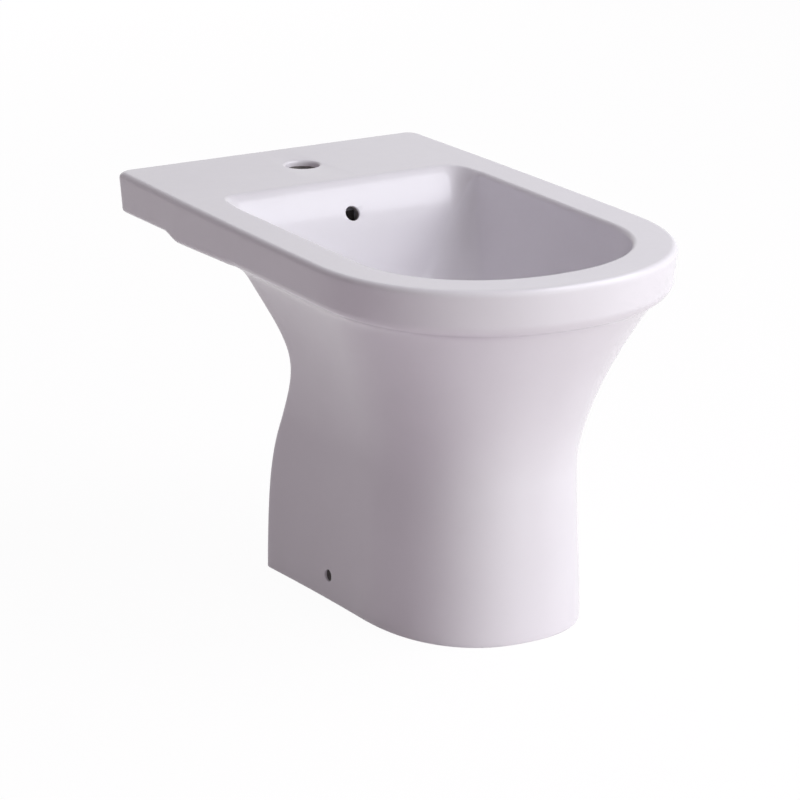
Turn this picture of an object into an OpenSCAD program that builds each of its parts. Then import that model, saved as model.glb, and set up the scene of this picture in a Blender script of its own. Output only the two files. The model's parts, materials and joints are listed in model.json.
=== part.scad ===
// Floor standing bidet: a one-piece china casting, its push-to-close waste and its floor fixings.
// Millimetres, +Z up. The origin is on the floor, under the middle of the rim's length and width.
// The front is -Y and the wall is on the +Y side. Distances called "from the wall" run forward.

/* [Overall] */
// Height of the rim above the floor
height = 385; // [370:1:410]
// Distance from the wall to the front of the rim
depth = 610; // [596:1:640]
// Width of the rim at its widest
width = 375; // [369:1:395]
// Thickness of the china's walls
wall = 12; // [10:0.5:13]

/* [Deck and rim] */
// Width of the deck at the wall
deck_width = 360; // [346:1:366]
// Distance from the wall to where the rim's rounded front begins
rim_straight = 425; // [400:1:450]
// Squareness of the rounded front, where 2 is an ellipse
rim_square = 2.15; // [2:0.05:2.5]
// Radius of the deck's rear corners in plan
deck_corner_r = 12; // [6:1:20]
// Radius of the rim's upper outer edge
rim_edge_r = 6; // [3:0.5:8]
// Height of the band round the bowl
band_height = 44.5; // [41:0.5:48]
// How much deeper it becomes on its way round to the front
front_fall = 3.5; // [0:0.5:5]
// Height of the band behind its step, beside the wall
band_rear_height = 37.5; // [34:0.5:40]
// How much deeper the skirt becomes on its way back to the wall
skirt_fall = 6.5; // [3:0.5:9]
// Distance from the wall to the middle of the band's step
band_step_at = 119; // [95:1:140]
// Length along which the band steps down
band_step_run = 34; // [24:1:60]
// How far the band's face leans in from top to bottom
band_lean = 3; // [0:0.5:5]
// Radius of the band's lower edge round the bowl
band_round_r = 8; // [6:0.5:10]
// Radius of the band's lower edge at the front
front_round_r = 11; // [10:0.5:12]
// Radius of the skirt's lower edge beside the wall
skirt_round_r = 5; // [3:0.5:6]

/* [Pedestal] */
// Distance from the wall to the rear of the foot
foot_rear = 199; // [185:1:215]
// Distance from the wall to the front of the foot
foot_front = 523; // [505:1:540]
// Width of the foot at its rear
foot_rear_width = 229; // [217:1:236]
// Width of the foot where its rounded front begins
foot_width = 219; // [212:1:228]
// Distance from the wall to where the foot's rounded front begins
foot_straight = 379; // [360:1:395]
// Squareness of the foot's rounded front
foot_square = 2.35; // [2:0.05:2.6]
// Radius of the foot's lower edge
foot_edge_r = 1; // [1:0.5:3]
// Height of the pedestal's waist
waist_height = 156; // [140:1:180]
// Radius at which the flare sets off from the waist
waist_round_r = 9; // [4:1:30]
// How far the waist draws in from the foot
waist_inset = 4; // [0:0.1:8]
// Bend of the flare, where 1 is a straight cone
flare_bend = 1.55; // [1.3:0.05:1.8]
// How far inside the rim's outline the flare meets the band
flare_inset = 15; // [12:1:18]
// Distance from the wall to the flare's rear edge under the band
flare_rear = 257; // [252:1:272]
// Distance from the wall to the rear edge of the pedestal's throat
throat_rear = 276; // [270:1:288]
// Height of the throat, where the rear edge stands furthest forward
throat_height = 262; // [240:1:275]

/* [Bowl] */
// Distance from the wall to the rear edge of the bowl's opening
bowl_rear = 151; // [146:1:165]
// Flat width of the rim beside the bowl
rim_side = 39.5; // [37:0.5:46]
// Flat width of the rim in front of the bowl
rim_front = 41; // [38:1:48]
// Radius of the bowl's rear corners in plan
bowl_corner_r = 20; // [18:1:32]
// Squareness of the opening's rounded front
bowl_square = 2.15; // [2:0.05:2.5]
// Radius of the opening's edge at the sides and front
bowl_edge_r = 5; // [3:0.5:8]
// Radius of the roll from the deck into the bowl
bowl_roll_r = 27; // [18:1:28]
// Depth of the bowl at the waste
bowl_depth = 160; // [150:1:168]
// Distance from the wall to the waste's centre
waste_at = 300; // [294:1:310]
// Radius of the bowl's floor round the waste
bowl_floor_r = 34; // [33:0.5:38]

/* [Holes in the china] */
// Diameter of the tap hole
tap_hole_d = 35; // [33:0.5:37]
// Distance from the wall to the tap hole's centre
tap_hole_at = 74.5; // [66:0.5:84]
// Radius of the tap hole's lip
tap_lip_r = 3; // [1:0.5:3.5]
// Depth of the thickened deck round the tap hole, from the top
tap_pad_depth = 17; // [15:0.5:20]
// Diameter of the thickened deck round the tap hole
tap_pad_d = 62; // [56:1:70]
// Diameter of the overflow hole
overflow_d = 15.5; // [10:0.5:17]
// Depth of the overflow hole's centre below the rim
overflow_drop = 29; // [27:0.5:34]
// Width of the overflow passage
duct_width = 34; // [24:1:40]
// Front-to-back size of the overflow passage
duct_gap = 13; // [10:0.5:15]
// Wall of the overflow passage
duct_wall = 8; // [6:0.5:9]
// Diameter of the fixing holes in the foot's sides
fixing_hole_d = 12; // [11:0.5:14]
// Distance from the wall to the fixing holes
fixing_at = 318; // [300:1:335]
// Height of the fixing holes above the floor
fixing_height = 26; // [24:0.5:34]
// Diameter of the flat pads round the fixing holes, inside the foot
fixing_pad_d = 36; // [30:1:40]
// Half the distance between the two pads' faces
fixing_pad_x = 90; // [86:0.5:92]

/* [Drain boss] */
// Outer diameter of the boss under the bowl
boss_d = 86; // [78:1:92]
// Height of the boss, from its underside to the waste's seat
boss_height = 44; // [40:1:50]
// Diameter of the hole for the waste
drain_hole_d = 46; // [44:0.5:48]
// Diameter of the recess that takes the waste's flange
seat_d = 66; // [64.5:0.5:67]
// Depth of that recess below the bowl's floor
seat_depth = 5; // [4:0.5:6]
// Diameter of the overflow chamber in the boss
chamber_d = 62; // [56:1:66]
// Height of the overflow chamber
chamber_height = 18; // [14:1:22]
// Distance from the boss's underside up to the chamber
chamber_rise = 11; // [8:1:13]

/* [Waste] */
// Outside diameter of the waste's thread
thread_d = 41.9; // [40:0.1:42.5]
// Diameter of the waste's flange
flange_d = 63; // [60:0.5:64]
// Thickness of the flange
flange_t = 4; // [3.5:0.5:5]
// Bore of the waste
waste_bore_d = 36; // [34:0.5:37]
// Diameter of the dished seat in the flange
dish_d = 54; // [51:0.5:56]
// Depth of the dished seat
dish_depth = 1.5; // [1:0.5:2]
// Length of the threaded tube under the flange
tube_length = 82; // [78:1:92]
// Number of overflow slots in the tube
slot_count = 4; // [3:1:5]
// Width of an overflow slot
slot_width = 10; // [6:0.5:12]
// Thickness of the flat ring under the flange
top_seal_t = 2; // [1:0.5:3]
// Thickness of the lower gasket
gasket_t = 5; // [4:0.5:7]
// Outside diameter of the lower gasket
gasket_d = 62; // [58:1:68]
// Thickness of the slip washer
washer_t = 1.5; // [1:0.5:2.5]
// Thickness of the back nut
nut_t = 11; // [9:0.5:13]
// Width of the groove turned in the thread below the back nut
groove_width = 1; // [0.6:0.1:1.5]
// Depth of that groove
groove_depth = 0.5; // [0.3:0.1:1]
// Outside diameter of the back nut across its corners
nut_d = 62; // [58:1:66]
// Width of a spoke of the crossbar
spoke_width = 4; // [3:0.5:5]
// Height of the crossbar
spoke_height = 6; // [5:0.5:8]
// Distance from the flange's top down to the crossbar's upper face
spoke_drop = 45; // [44:0.5:48]

/* [Push latch] */
// Outside diameter of the latch barrel
barrel_d = 15; // [14:0.5:17]
// Bore of the latch barrel
barrel_bore_d = 11; // [10.6:0.1:11.6]
// Length of the barrel above its floor
barrel_length = 29; // [28:0.5:32]
// Thickness of the barrel's floor
barrel_floor = 2.5; // [2:0.5:3]
// Diameter of the stud under the barrel
stud_d = 8; // [7:0.5:9]
// Thickness of the nut under the crossbar
latch_nut_t = 4; // [3:0.5:6]
// Width of that nut across its corners
latch_nut_d = 15; // [14:0.5:16]
// Diameter of the stem
stem_d = 6; // [5:0.5:6.5]
// Diameter of the stem's shoulder
shoulder_d = 10; // [9:0.1:10.2]
// Thickness of the stem's shoulder
shoulder_t = 2.5; // [2:0.5:3]
// Thickness of the bush in the barrel's mouth
bush_t = 4; // [3:0.5:5]
// Height of the rotor
rotor_height = 5; // [4:0.5:6]
// Number of teeth on the rotor
rotor_teeth = 6; // [4:1:8]
// Diameter of the spigot that the rotor turns on
spigot_d = 4; // [3.5:0.1:4.5]
// Wire of the return spring
spring_wire = 0.9; // [0.7:0.1:1]
// Mean diameter of the return spring
spring_d = 8; // [7.4:0.1:8.6]
// Turns of the return spring
spring_turns = 5; // [4:1:6]

/* [Plug] */
// Diameter of the plug
plug_d = 49; // [47:0.5:50]
// Height of the plug's dome
plug_dome = 4; // [3:0.5:6]
// Thickness of the plug's rim
plug_rim = 2; // [1.5:0.5:3]
// How far the plug stands up from its closed place
plug_travel = 8; // [7:0.5:9]
// Diameter of the plug's seal
plug_seal_d = 46; // [44:0.5:47]
// Thickness of the plug's seal
plug_seal_t = 2.5; // [2:0.5:3]
// Diameter of the boss under the plug
plug_boss_d = 12; // [10:0.5:14]

/* [Floor fixings] */
// Width of a bracket along the foot
bracket_width = 40; // [34:1:46]
// Height of a bracket
bracket_height = 46; // [42:1:54]
// Thickness of a bracket
bracket_t = 6; // [5:0.5:8]
// Reach of a bracket's foot towards the middle
bracket_reach = 42; // [38:1:48]
// Diameter of the floor screw's hole
floor_hole_d = 8.5; // [7:0.5:10]
// Distance between the two floor holes
floor_hole_spacing = 124; // [118:1:130]
// Diameter of the fixing screw
screw_d = 6; // [5:0.5:6.5]
// Diameter of the fixing screw's head
screw_head_d = 10; // [9:0.5:10.5]
// Height of the fixing screw's head
screw_head_h = 4; // [3:0.5:5]
// Length of the sleeve in the foot's side hole
sleeve_length = 8; // [6:0.5:9]
// Diameter of the threaded insert
insert_d = 12; // [11:0.5:14]
// Length of the threaded insert
insert_length = 14; // [12:0.5:16]

/* [Hidden] */

// Gaps between pieces that fit together
thread_gap = 0.1;
running_gap = 0.05;
loose_gap = 0.3;
// How far a cutter passes the face that it cuts, and how deep a fused piece is let in
over = 1;
sink = 2;

// Colours
glaze = [0.95, 0.94, 0.95];
chrome = [0.78, 0.79, 0.81];
brass = [0.80, 0.66, 0.36];
black_rubber = [0.13, 0.13, 0.14];
white_plastic = [0.88, 0.88, 0.86];
steel = [0.62, 0.63, 0.65];

// Points on each stretch of a half outline
rear_steps = 3;
corner_steps = 5;
front_steps = 16;

// --- Outlines -------------------------------------------------------------------------------

function wall_y(d) = depth / 2 - d;
function mix(a, b, t) = a + (b - a) * t;
// Rises smoothly from 0 to 1 as t goes from 0 to 1
function ease(t) = (1 - cos(180 * min(1, max(0, t)))) / 2;

// Places along a straight side, as shares of it, with a point at each turn of the band's step
step_share = [for (f = [-0.5, -0.2, 0, 0.2, 0.5])
  (band_step_at + f * band_step_run - deck_corner_r) / (rim_straight - deck_corner_r)];
side_shares = concat([step_share[0] / 2], step_share, [for (i = [1:4]) mix(step_share[4], 1, i / 5)]);

// Half of a D-shaped outline, from the middle of its rear edge to the middle of its front.
// d = [rear, rear half-width, half-width, start of the rounded front, front, squareness, corner r],
// with its distances measured from the wall, and inset moves the whole outline inwards.
function half_outline(d, inset) =
  let (
    rear = wall_y(d[0] + inset), w0 = d[1] - inset, w1 = d[2] - inset,
    straight = wall_y(d[3]), front = wall_y(d[4] - inset), power = 2 / d[5], r = d[6],
    side_length = rear - r - straight
  )
  concat(
    [for (i = [0:rear_steps - 1]) [(w0 - r) * i / rear_steps, rear]],
    [for (i = [0:corner_steps]) let (a = 90 * i / corner_steps)
      [w0 - r + r * sin(a), rear - r + r * cos(a)]],
    [for (t = side_shares) [w1 - (w1 - w0) * pow(1 - t, 2), rear - r - side_length * t]],
    [for (i = [0:front_steps]) let (a = 90 * i / front_steps)
      [w1 * pow(cos(a), power), straight - (straight - front) * pow(sin(a), power)]]
  );

// The whole outline, clockwise from above
function outline(d, inset = 0) =
  let (half = half_outline(d, inset))
  concat(half, [for (i = [len(half) - 2:-1:1]) [-half[i].x, half[i].y]]);

function ring(d, z, inset = 0) = [for (p = outline(d, inset)) [p.x, p.y, z]];

// A closed solid through a stack of rings, the lowest ring first. Its ends fan out from the point
// halfway round, which is the middle of an outline's front.
module loft(rings) {
  n = len(rings[0]);
  top = (len(rings) - 1) * n;
  fan = [for (i = [0:n - 1]) (i + floor(n / 2)) % n];
  sides = [for (k = [0:len(rings) - 2], i = [0:n - 1])
    let (a = k * n + i, b = k * n + (i + 1) % n)
    each [[a, b, b + n], [a, b + n, a + n]]];
  ends = [for (i = [1:n - 2])
    each [[fan[0], fan[i + 1], fan[i]], [top + fan[0], top + fan[i], top + fan[i + 1]]]];
  polyhedron(points = [for (r = rings) each r], faces = concat(ends, sides), convexity = 10);
}

// --- China: outer skin ----------------------------------------------------------------------

rear_corner_r = 4;
rim = [0, deck_width / 2, width / 2, rim_straight, depth, rim_square, deck_corner_r];
foot = [
  foot_rear, foot_rear_width / 2, foot_width / 2, foot_straight,
  foot_front, foot_square, rear_corner_r
];
flare = [
  flare_rear, deck_width / 2 - flare_inset / 2, width / 2 - flare_inset, rim_straight,
  depth - flare_inset, rim_square, rear_corner_r
];
flare_z = height - band_height;

// How far the section has grown from the foot's outline towards the flare's, at a height
waist_share = -waist_inset / (flare[2] - foot[2]);
function above_waist(z) = norm([z - waist_height, waist_round_r]) - waist_round_r;
function growth(z) = z < waist_height
  ? waist_share * ease(z / waist_height)
  : mix(waist_share, 1, pow(above_waist(z) / above_waist(flare_z), flare_bend));

// Distance from the wall to the pedestal's rear edge, at a height
rear_bend_start = 30;
rear_bend = 1.82;
function rear_rise(z) = pow(max(0, z - rear_bend_start) / (throat_height - rear_bend_start), rear_bend);
function rear_edge(z) = z < throat_height
  ? mix(foot_rear, throat_rear, ease(rear_rise(z)))
  : mix(throat_rear, flare_rear, ease((z - throat_height) / (flare_z - throat_height)));

function pedestal_section(z) = [
  rear_edge(z),
  mix(foot[1], flare[1], growth(z)), mix(foot[2], flare[2], growth(z)), mix(foot[3], flare[3], growth(z)),
  mix(foot[4], flare[4], growth(z)), mix(foot[5], flare[5], growth(z)), foot[6]
];

// Heights of the pedestal's sections, closer together where the waist turns
low_sections = 4;
high_sections = 10;
waist_crowding = 1.15;
pedestal_low = [for (i = [1:low_sections - 1]) waist_height * i / low_sections];
pedestal_high = [for (i = [0:high_sections])
  mix(waist_height, flare_z, pow(i / high_sections, waist_crowding))];

// How deep the band is at a point: it steps down beside the bowl and falls a little more on the way to
// the front, and its skirt falls towards the wall
function band_step(y) = ease((wall_y(band_step_at - band_step_run / 2) - y) / band_step_run);
function skirt_share(y) = min(1, max(0, 1 - (depth / 2 - y) / flare_rear));
function front_share(y) = ease((wall_y(rim_straight) - y) / (depth - rim_straight));
function band_depth(y) =
  mix(band_rear_height, band_height, band_step(y)) + skirt_fall * skirt_share(y)
  + front_fall * front_share(y);

// The radius of the band's lower edge at a point
function band_round(y) = mix(
  mix(band_round_r, skirt_round_r, ease(skirt_share(y) / skirt_share(wall_y(band_step_at)))),
  front_round_r, front_share(y));

// The rim's outline at the band's lower edge, where the face against the wall stays upright
band_foot = [-band_lean, rim[1], rim[2], rim[3], rim[4], rim[5], rim[6]];

// A ring round the band's lower edge, at an angle that is 0 underneath and 90 at the band's face
function band_ring(a) =
  let (outer = outline(band_foot, band_lean), inner = outline(band_foot, band_lean + front_round_r))
  [for (i = [0:len(outer) - 1])
    let (
      r = band_round(outer[i].y),
      p = mix(outer[i], inner[i], (1 - sin(a)) * r / front_round_r)
    )
    [p.x, p.y, height - band_depth(p.y) + r * (1 - cos(a))]];

function pedestal_rings() = concat(
  [ring(pedestal_section(0), 0, foot_edge_r), ring(pedestal_section(foot_edge_r), foot_edge_r)],
  [for (z = concat(pedestal_low, pedestal_high)) ring(pedestal_section(z), z)],
  [ring(flare, height - wall / 2)]
);

function rim_rings() = concat(
  [for (a = [0, 30, 60, 90]) band_ring(a)],
  [for (a = [0, 30, 60, 90]) ring(rim, height - rim_edge_r * (1 - sin(a)), rim_edge_r * (1 - cos(a)))]
);

// --- China: bowl ----------------------------------------------------------------------------

// The bowl's walls where they stand upright, just under the opening's edge
bowl_taper = 1;
bowl_run_on = 8;
bowl_half = width / 2 - rim_side - bowl_edge_r;
bowl = [
  bowl_rear + bowl_roll_r, bowl_half - bowl_taper, bowl_half,
  rim_straight + bowl_run_on, depth - rim_front - bowl_edge_r, bowl_square, bowl_corner_r
];
corner_growth = 75;
rear_steepness = 1.6;
side_steepness = 1.8;
front_steepness = 1.6;

// The share of its reach that a wall keeps, at a share u of the bowl's depth
function wall_reach(u, steepness) = pow(max(0, 1 - pow(u, steepness)), 1 / steepness);

// The bowl's outline at a share u of its depth, with skin added outside for the outer face
function bowl_section(u, skin) =
  let (
    floor_r = bowl_floor_r + skin,
    side = wall_reach(u, side_steepness),
    w0 = mix(floor_r, bowl[1] + skin, side),
    w1 = mix(floor_r, bowl[2] + skin, side)
  )
  [
    mix(waste_at - floor_r, bowl[0] - skin, wall_reach(u, rear_steepness)), w0, w1,
    mix(waste_at, bowl[3], side),
    mix(waste_at + floor_r, bowl[4] + skin, wall_reach(u, front_steepness)),
    mix(2, bowl[5], side), min(w0 - 4, bowl[6] + skin + corner_growth * u * u)
  ];

bowl_shares = [1, 0.995, 0.975, 0.93, 0.86, 0.77, 0.66, 0.54, 0.42, 0.3];

// The outline's outward directions, from the neighbours of each point
function outward(pts) = [for (i = [0:len(pts) - 1])
  let (t = pts[(i + 1) % len(pts)] - pts[(i + len(pts) - 1) % len(pts)]) [-t.y, t.x] / norm(t)];

// A ring of the opening's edge, at an angle that is 0 where the wall is upright and 90 at the flat.
// The roll is broad where the wall faces forward, and tightens to the edge round the corners.
roll_fade = 4;
function roll_ring(a) =
  let (pts = outline(bowl), out = outward(pts))
  [for (i = [0:len(pts) - 1])
    let (
      r = mix(bowl_edge_r, bowl_roll_r, pow(max(0, out[i].y), roll_fade)),
      p = pts[i] + out[i] * r * (1 - cos(a))
    )
    [p.x, p.y, height - r * (1 - sin(a))]];

function bowl_rings() = concat(
  [for (u = bowl_shares) ring(bowl_section(u, 0), height - bowl_depth * u)],
  [for (a = [0, 22.5, 45, 67.5, 90]) roll_ring(a)],
  [[for (p = roll_ring(90)) [p.x, p.y, height + over]]]
);

// The outer face of the bowl's wall, up into the thickness of the deck
bowl_skin = wall;
function bowl_skin_rings() = [for (u = concat(bowl_shares, [0.17, 0.045]))
  ring(bowl_section(u, bowl_skin), height - (bowl_depth + bowl_skin) * u)];

// --- China: hollows -------------------------------------------------------------------------

// The space inside the pedestal, open behind and below, up into the band
open_behind = wall + 20;
function hollow_section(d) =
  [d[0] - open_behind, d[1], d[2], d[3], d[4], d[5], rear_corner_r + wall / 2];
function pedestal_hollow_rings() = concat(
  [for (z = concat([-over], pedestal_low, pedestal_high))
    ring(hollow_section(pedestal_section(max(0, z))), z, wall)],
  [ring(hollow_section(flare), flare_z + wall + over, wall)]
);

// The space inside the rim's skirt, between two heights
module rim_hollow(low, high) {
  loft([for (z = [low, high]) ring(band_foot, z, wall + band_lean)]);
}

// The hollow under the deck, open below, between the skirts and the pedestal's rear edge
module deck_hollow() {
  intersection() {
    rim_hollow(flare_z - wall, flare_z + wall + over);
    translate([-width / 2, wall_y(flare_rear - 2), flare_z - 2 * wall])
      cube([width, flare_rear, 4 * wall]);
  }
}

// --- China: overflow passage ----------------------------------------------------------------

seat_z = height - bowl_depth - seat_depth;
boss_z = seat_z - boss_height;
chamber_z = boss_z + chamber_rise;
overflow_z = height - overflow_drop;

// Distance from the wall to the bowl's inner rear face, at a share of its depth
function rear_face(u) = mix(waste_at - bowl_floor_r, bowl[0], wall_reach(u, rear_steepness));

// Middle of the passage, as [distance from the wall, height], from inside the deck down to the boss
duct_back = wall + duct_gap / 2 - 1;
duct_shares = [0.13, 0.3, 0.5, 0.7, 0.82, 0.92];
duct_landing = boss_d / 2 - 4;
duct_path = concat(
  [[bowl[0] - duct_back, height - wall / 2]],
  [for (u = duct_shares) [rear_face(u) - duct_back, height - bowl_depth * u - duct_back * pow(u, 4)]],
  [for (d = [duct_landing, duct_landing / 2]) [waste_at - d, chamber_z + chamber_height / 2]]
);

// A flat tube along the passage, grow wider than the passage itself
function duct_ring(i, grow) =
  let (
    a = duct_path[max(0, i - 1)], b = duct_path[min(len(duct_path) - 1, i + 1)],
    t = (b - a) / norm(b - a), n = [t.y, -t.x],
    w = duct_width / 2 + grow, g = duct_gap / 2 + grow, c = min(w, g) / 2
  )
  [for (s = [[-1, 1], [1, 1], [1, -1], [-1, -1]], first = [true, false])
    let (q = first == (s.x * s.y < 0) ? [s.x * w, s.y * (g - c)] : [s.x * (w - c), s.y * g])
      [q.x, wall_y(duct_path[i].x + n.x * q.y), duct_path[i].y + n.y * q.y]];

module duct(grow, first, last) {
  loft([for (i = [last:-1:first]) duct_ring(i, grow)]);
}

// --- China: casting -------------------------------------------------------------------------

module at_waste() {
  translate([0, wall_y(waste_at), 0]) children();
}

module fixing_axis(side) {
  translate([0, wall_y(fixing_at), fixing_height]) rotate([0, side * 90, 0]) children();
}

// A quarter-round lip that widens a hole at a flat face, with its axis on +Z
module lip_cut(r, lip) {
  rotate_extrude()
    difference() {
      translate([0, -lip]) square([r + lip, lip + over]);
      translate([r + lip, -lip]) circle(lip);
    }
}

module shell() {
  difference() {
    union() {
      loft(pedestal_rings());
      loft(rim_rings());
    }
    loft(pedestal_hollow_rings());
    rim_hollow(flare_z + wall, height - wall);
    deck_hollow();
  }
}

overflow_reach = 15;
module china_body() {
  color(glaze)
    difference() {
      union() {
        shell();
        loft(bowl_skin_rings());
        duct(duct_wall, 0, len(duct_path) - 1);
        at_waste() translate([0, 0, boss_z]) cylinder(h = boss_height - sink, d = boss_d);
        translate([0, wall_y(tap_hole_at), height - tap_pad_depth])
          cylinder(h = tap_pad_depth - wall / 2, d = tap_pad_d);
        for (side = [-1, 1])
          fixing_axis(side) translate([0, 0, fixing_pad_x])
            cylinder(h = foot_width / 2 - wall / 2 - fixing_pad_x, d = fixing_pad_d);
      }
      loft(bowl_rings());
      duct(0, 1, len(duct_path) - 1);
      translate([0, wall_y(bowl[0]), overflow_z])
        rotate([90, 0, 0])
          translate([0, 0, -wall - duct_gap / 2])
            cylinder(h = wall + duct_gap / 2 + overflow_reach, d = overflow_d);
      at_waste() {
        translate([0, 0, boss_z - over]) cylinder(h = boss_height + 2 * over, d = drain_hole_d);
        translate([0, 0, seat_z]) cylinder(h = seat_depth + over, d = seat_d);
        translate([0, 0, chamber_z]) cylinder(h = chamber_height, d = chamber_d);
      }
      translate([0, wall_y(tap_hole_at), 0]) {
        translate([0, 0, height - tap_pad_depth - over])
          cylinder(h = tap_pad_depth + 2 * over, d = tap_hole_d);
        translate([0, 0, height]) lip_cut(tap_hole_d / 2, tap_lip_r);
      }
      for (side = [-1, 1])
        fixing_axis(side) translate([0, 0, fixing_pad_x - over])
          cylinder(h = foot_rear_width / 2 - fixing_pad_x + 2 * over, d = fixing_hole_d);
    }
}

// --- Waste ----------------------------------------------------------------------------------

flange_z = seat_z + top_seal_t;
flange_top = flange_z + flange_t;
tube_z = flange_z - tube_length;
gasket_z = boss_z - gasket_t;
washer_z = gasket_z - washer_t;
nut_z = washer_z - nut_t;
spoke_top = flange_top - spoke_drop;

module ring_part(outer_d, inner_d, h) {
  difference() {
    cylinder(h = h, d = outer_d);
    translate([0, 0, -over]) cylinder(h = h + 2 * over, d = inner_d);
  }
}

// Flange and tube as one turned profile, with the dished seat round its mouth and a groove that marks
// off the free end for the trap
module waste_turning() {
  r = thread_d / 2;
  bore = waste_bore_d / 2;
  edge = flange_t / 2;
  mouth_chamfer = 1;
  rotate_extrude()
    difference() {
      union() {
        translate([bore, 0]) square([r - bore, tube_length + flange_t]);
        translate([bore, tube_length]) square([flange_d / 2 - edge - bore, flange_t]);
        translate([flange_d / 2 - edge, tube_length + flange_t / 2]) circle(edge);
      }
      translate([r - groove_depth, nut_z - tube_z - 2 * groove_width])
        square([groove_depth + over, groove_width]);
      polygon([
        [0, tube_length + flange_t + over], [dish_d / 2 + over, tube_length + flange_t + over],
        [dish_d / 2 - dish_depth, tube_length + flange_t - dish_depth],
        [bore + mouth_chamfer, tube_length + flange_t - dish_depth],
        [bore, tube_length + flange_t - dish_depth - mouth_chamfer],
        [0, tube_length + flange_t - dish_depth - mouth_chamfer]
      ]);
    }
}

module crossbar() {
  hub_wall = 4;
  hub_d = stud_d + 2 * hub_wall;
  difference() {
    union() {
      cylinder(h = spoke_height, d = hub_d);
      for (a = [0:120:240])
        rotate([0, 0, a]) translate([0, -spoke_width / 2, 0])
          cube([waste_bore_d / 2 + sink / 2, spoke_width, spoke_height]);
    }
    translate([0, 0, -over]) cylinder(h = spoke_height + 2 * over, d = stud_d + 2 * thread_gap);
  }
}

module waste_body() {
  slot_margin = 2;
  slot_z = chamber_z + slot_margin;
  slot_height = chamber_height - 2 * slot_margin;
  color(chrome)
    at_waste() {
      difference() {
        translate([0, 0, tube_z]) waste_turning();
        for (i = [0:slot_count - 1])
          rotate([0, 0, 45 + 360 * i / slot_count])
            translate([waste_bore_d / 2 - sink, -slot_width / 2, slot_z])
              cube([thread_d / 2 - waste_bore_d / 2 + 2 * sink, slot_width, slot_height]);
      }
      translate([0, 0, spoke_top - spoke_height]) crossbar();
    }
}

module waste_top_seal() {
  set_back = 1;
  color(black_rubber)
    at_waste() translate([0, 0, seat_z])
      ring_part(flange_d - 2 * set_back, thread_d + 4 * thread_gap, top_seal_t);
}

module waste_lower_gasket() {
  color(black_rubber)
    at_waste() translate([0, 0, gasket_z]) ring_part(gasket_d, thread_d + 2 * thread_gap, gasket_t);
}

module waste_slip_washer() {
  color(white_plastic)
    at_waste() translate([0, 0, washer_z]) ring_part(gasket_d, thread_d + 2 * loose_gap, washer_t);
}

module waste_back_nut() {
  turned_corner = 1.5;
  color(brass)
    at_waste() translate([0, 0, nut_z])
      difference() {
        intersection() {
          cylinder(h = nut_t, d = nut_d, $fn = 6);
          cylinder(h = nut_t, d = nut_d - 2 * turned_corner);
        }
        translate([0, 0, -over]) cylinder(h = nut_t + 2 * over, d = thread_d + 2 * thread_gap);
      }
}

// --- Push latch -----------------------------------------------------------------------------

barrel_z = spoke_top;
barrel_top = barrel_z + barrel_floor + barrel_length;
bush_z = barrel_top - bush_t;
shoulder_z = bush_z - loose_gap - shoulder_t;
rotor_z = shoulder_z - running_gap - rotor_height;
spring_z = barrel_z + barrel_floor;
spring_top = rotor_z - running_gap;

module latch_housing() {
  stud_end = 2;
  stud_length = spoke_height + latch_nut_t + stud_end;
  color(white_plastic)
    at_waste() {
      translate([0, 0, barrel_z]) {
        cylinder(h = barrel_floor, d = barrel_d);
        ring_part(barrel_d, barrel_bore_d, barrel_floor + barrel_length);
      }
      translate([0, 0, barrel_z - stud_length]) cylinder(h = stud_length, d = stud_d);
    }
}

module latch_nut() {
  color(brass)
    at_waste() translate([0, 0, spoke_top - spoke_height - latch_nut_t])
      difference() {
        cylinder(h = latch_nut_t, d = latch_nut_d, $fn = 6);
        translate([0, 0, -over]) cylinder(h = latch_nut_t + 2 * over, d = stud_d + 2 * thread_gap);
      }
}

module latch_bush() {
  color(white_plastic)
    at_waste() translate([0, 0, bush_z])
      ring_part(barrel_bore_d - 2 * thread_gap, stem_d + 2 * running_gap + 0.1, bush_t);
}

// A ring with sloping teeth round its lower rim, which climb the barrel's ramps
module latch_rotor() {
  tooth_h = rotor_height * 0.4;
  gap_w = PI * shoulder_d / rotor_teeth / 2;
  color(brass)
    at_waste() translate([0, 0, rotor_z])
      difference() {
        cylinder(h = rotor_height, d = shoulder_d);
        translate([0, 0, -over]) cylinder(h = rotor_height + 2 * over, d = spigot_d + 2 * running_gap);
        for (i = [0:rotor_teeth - 1])
          rotate([90, 0, 90 + 360 * i / rotor_teeth])
            linear_extrude(shoulder_d)
              polygon([
                [-gap_w / 2, -over], [gap_w / 2, -over],
                [gap_w / 2, tooth_h], [-gap_w / 2, tooth_h / 5]
              ]);
      }
}

// The spring is one wound wire, closed up at both ends
wire_sides = 6;
coil_steps = 12;
module return_spring() {
  r = spring_d / 2;
  low = spring_z + spring_wire / 2;
  high = spring_top - spring_wire / 2;
  steps = spring_turns * coil_steps;
  rings = [for (i = [0:steps])
    let (a = 360 * i / coil_steps, z = mix(low, high, ease(i / steps)))
    [for (j = [0:wire_sides - 1]) let (b = -360 * j / wire_sides, q = r + spring_wire / 2 * cos(b))
      [q * cos(a), q * sin(a), z + spring_wire / 2 * sin(b)]]];
  color(steel) at_waste() loft(rings);
}

// --- Plug -----------------------------------------------------------------------------------

plug_seat_z = flange_top - dish_depth;
plug_z = plug_seat_z + plug_seal_t + plug_travel;
plug_boss_drop = 2;
plug_boss_z = plug_z - plug_seal_t - plug_boss_drop;
stem_tip_d = stem_d - 1;
stem_tip_length = plug_seal_t + plug_boss_drop;

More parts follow.
